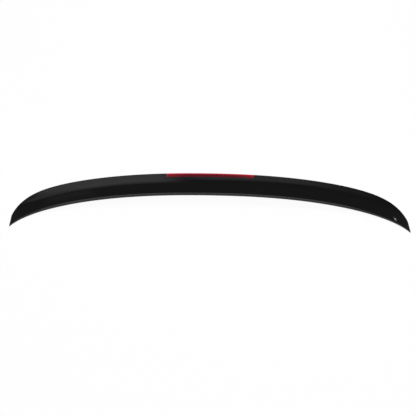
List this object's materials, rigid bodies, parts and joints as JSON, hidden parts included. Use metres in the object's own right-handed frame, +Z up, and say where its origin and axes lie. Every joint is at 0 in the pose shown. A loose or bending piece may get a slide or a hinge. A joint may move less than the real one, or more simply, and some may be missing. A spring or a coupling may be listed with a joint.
{
  "type": "car rear spoiler",
  "caption": "Gloss black boot-lid lip spoiler for a saloon car, swept forward to thin tips, with a slim red stop lamp let into the middle of its raised trailing edge.",
  "frame": {"origin": "midway between the mouths of the two inner threaded inserts, on the plane of their pads", "axes": "+X along the span to the right as seen from the front of the car, +Y to the rear of the car, +Z up"},
  "size_m": [1.24, 0.2443, 0.0653],
  "materials": {
    "gloss_black_paint": "gloss black paint under clear lacquer",
    "black_plastic": "fine-grained moulded black plastic",
    "brass": "turned brass",
    "black_foam": "closed-cell foam",
    "grey_tape": "acrylic foam tape",
    "red_lens": "clear red acrylic",
    "circuit_board": "white solder resist",
    "led_package": "moulded package with a resin window",
    "chip_black": "moulded component body",
    "zinc_steel": "zinc-plated steel",
    "black_rubber": "moulded rubber"
  },
  "bodies": {
    "root": {"upper_shell": "gloss_black_paint", "lower_panel": "black_plastic", "threaded_inserts": "brass", "insert_gaskets": "black_foam", "tape_front": "grey_tape", "tape_rear_left": "grey_tape", "tape_rear_right": "grey_tape", "lamp_lens": "red_lens", "lamp_housing": "black_plastic", "lamp_gasket": "black_foam", "led_board": "circuit_board", "leds": "led_package", "board_resistors": "chip_black", "board_diode": "chip_black", "lamp_screws": "zinc_steel", "lamp_wire_seal": "black_rubber", "wire_grommet": "black_rubber"}
  },
  "joints": []
}
